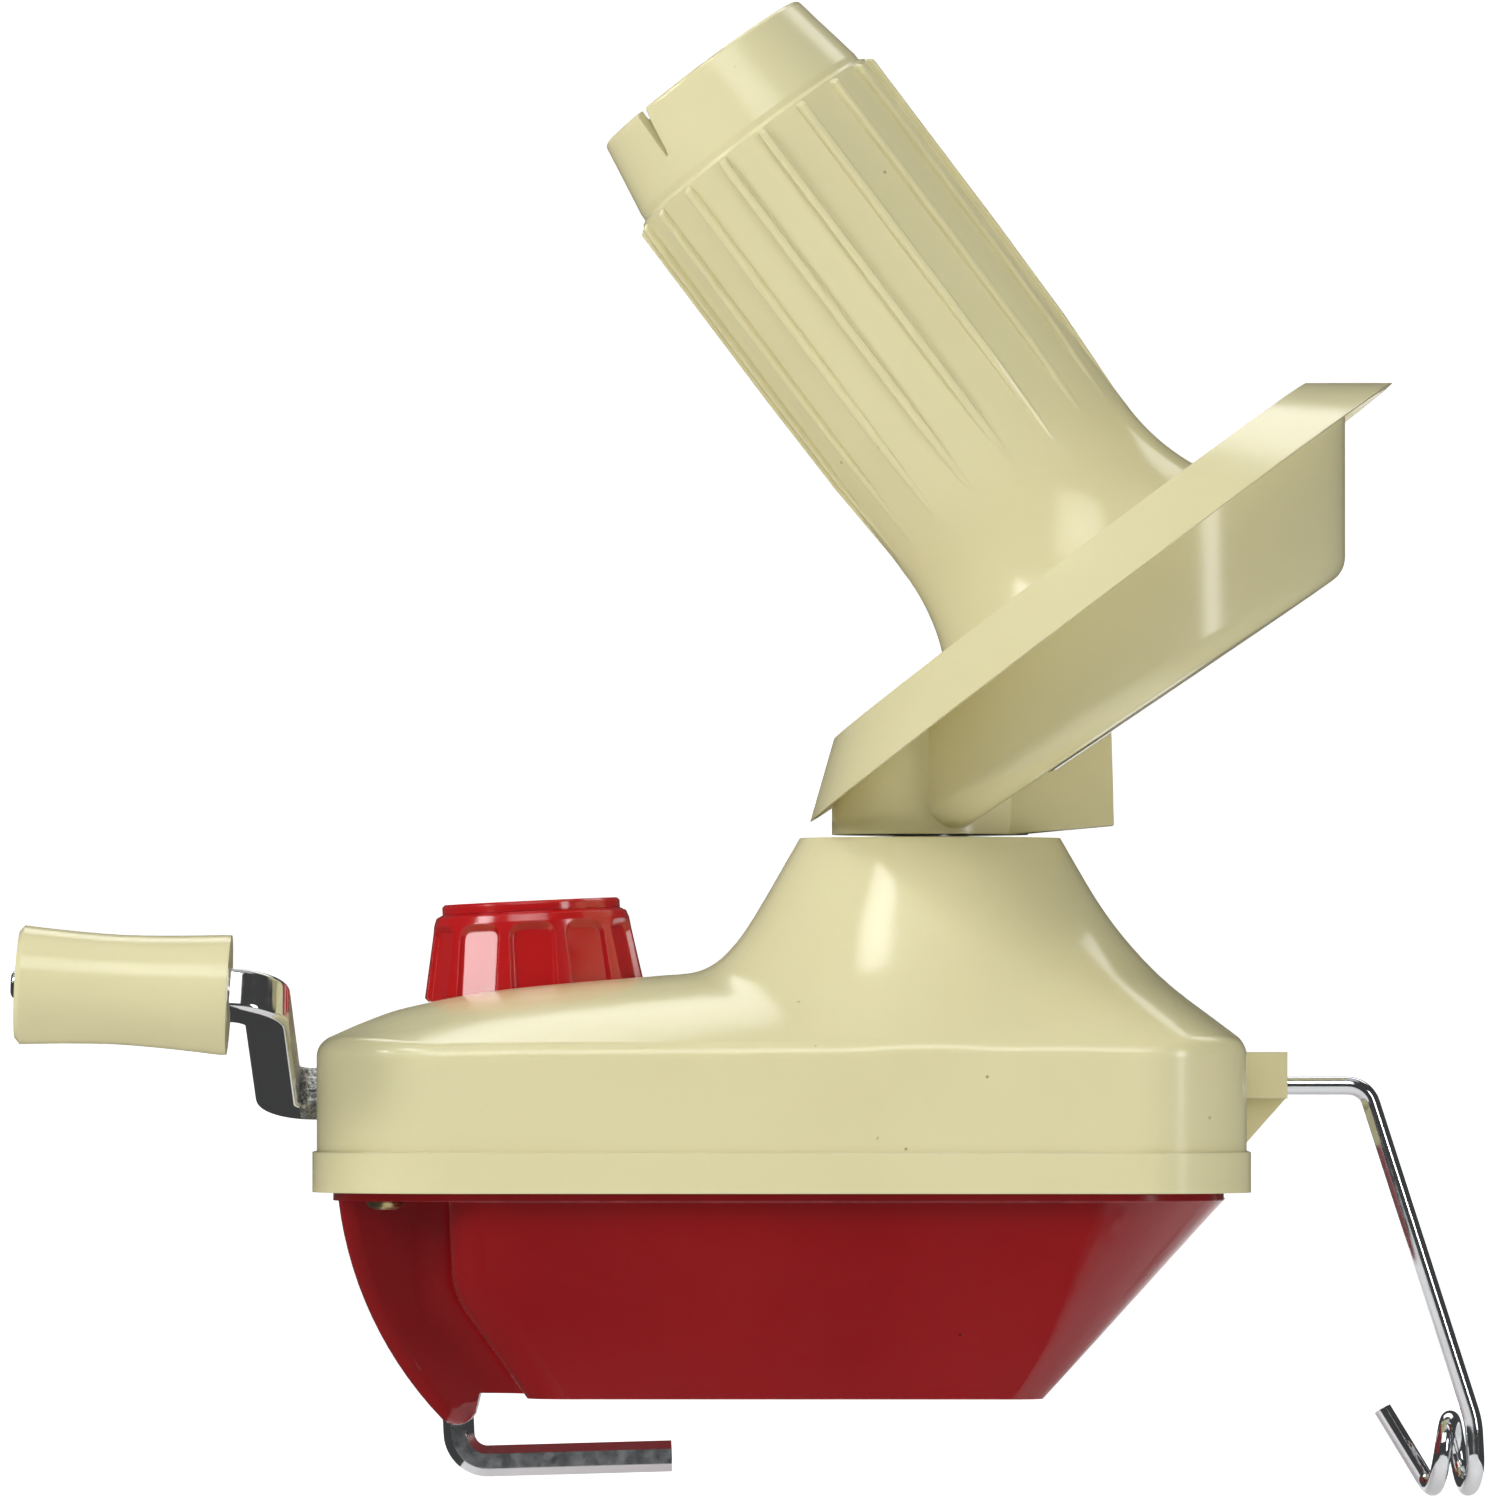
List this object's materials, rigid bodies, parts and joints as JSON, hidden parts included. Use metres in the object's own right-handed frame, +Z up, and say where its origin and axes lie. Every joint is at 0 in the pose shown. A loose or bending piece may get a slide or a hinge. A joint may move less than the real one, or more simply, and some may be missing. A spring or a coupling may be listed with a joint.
{
  "type": "yarn ball winder",
  "caption": "Hand-cranked yarn ball winder with a tilted ribbed bobbin on a geared rotor, table clamp with knob, and wire yarn guide.",
  "frame": {"origin": "where the rotor's vertical axis meets the plane of the base's underside, the face that rests on the table", "axes": "+Z up along the rotor's axis, +X towards the yarn guide, -X towards the crank, -Y towards the front"},
  "size_m": [0.2326, 0.1166, 0.2392],
  "materials": {
    "cream_plastic": "moulded gloss",
    "red_plastic": "moulded gloss",
    "nylon": "satin",
    "chrome": "bright plated",
    "steel": "turned",
    "brass": "turned",
    "zinc_yellow": "yellow zinc plated"
  },
  "bodies": {
    "housing": {"top_cover": "cream_plastic", "base_shell": "red_plastic", "housing_screws": "zinc_yellow", "crank_bush": "nylon", "bearing_block": "cream_plastic", "block_screws": "zinc_yellow", "centre_post": "steel", "post_pin": "steel", "sun_gear": "nylon", "sun_pin": "steel", "turret_bush": "nylon", "spindle_washer": "steel"},
    "crank": {"crank_rod": "chrome", "drive_gear": "nylon", "hub_clip": "steel"},
    "grip": {"handle_grip": "cream_plastic"},
    "rotor": {"spindle_tube": "steel", "spindle_pinion": "nylon", "rotor_cup": "cream_plastic", "yarn_plate": "cream_plastic", "plate_screws": "zinc_yellow", "bobbin_axle": "steel", "axle_screw": "zinc_yellow", "axle_cap_washer": "steel", "axle_foot_washer": "steel"},
    "bobbin": {"bobbin_gear": "nylon", "bobbin_bushes": "brass", "bobbin_tower": "cream_plastic"},
    "knob": {"clamp_knob": "red_plastic", "knob_cap": "red_plastic", "clamp_sleeve": "brass", "sleeve_clip": "steel"},
    "clamp_rod": {"clamp_rod": "chrome"},
    "guide": {"yarn_guide": "chrome", "guide_clip": "steel"}
  },
  "joints": [
    {"name": "rotor_spin", "type": "hinge", "parent": "housing", "child": "rotor", "pos_m": [0, 0, 0.095], "axis": [0, 0, 1], "continuous": true},
    {"name": "crank_spin", "type": "hinge", "parent": "housing", "child": "crank", "pos_m": [-0.06, 0, 0.0477], "axis": [1, 0, 0], "continuous": true},
    {"name": "bobbin_spin", "type": "hinge", "parent": "rotor", "child": "bobbin", "pos_m": [0, 0, 0.1626], "axis": [-0.6018, 0, 0.7986], "continuous": true},
    {"name": "grip_spin", "type": "hinge", "parent": "crank", "child": "grip", "pos_m": [-0.10969, -0.04755, 0.06343], "axis": [-0.9987, 0, 0.0506], "continuous": true},
    {"name": "knob_turn", "type": "hinge", "parent": "housing", "child": "knob", "pos_m": [-0.0642, 0.013, 0.0786], "axis": [-0.0471, 0, 0.9989], "range_deg": [-360, 4680]},
    {"name": "clamp_travel", "type": "slide", "parent": "housing", "child": "clamp_rod", "axis": [0.0471, 0, -0.9989], "range_m": [-0.0021, 0.0261]},
    {"name": "guide_swivel", "type": "hinge", "parent": "housing", "child": "guide", "pos_m": [0.055, 0, 0.049], "axis": [1, 0, 0], "range_deg": [-180, 180]}
  ],
  "couplings": [
    {"joint": "crank_spin", "follows": "rotor_spin", "ratio": 0.26087},
    {"joint": "bobbin_spin", "follows": "rotor_spin", "ratio": 0.26087},
    {"joint": "clamp_travel", "follows": "knob_turn", "m_per_rad": 0.00031831}
  ]
}
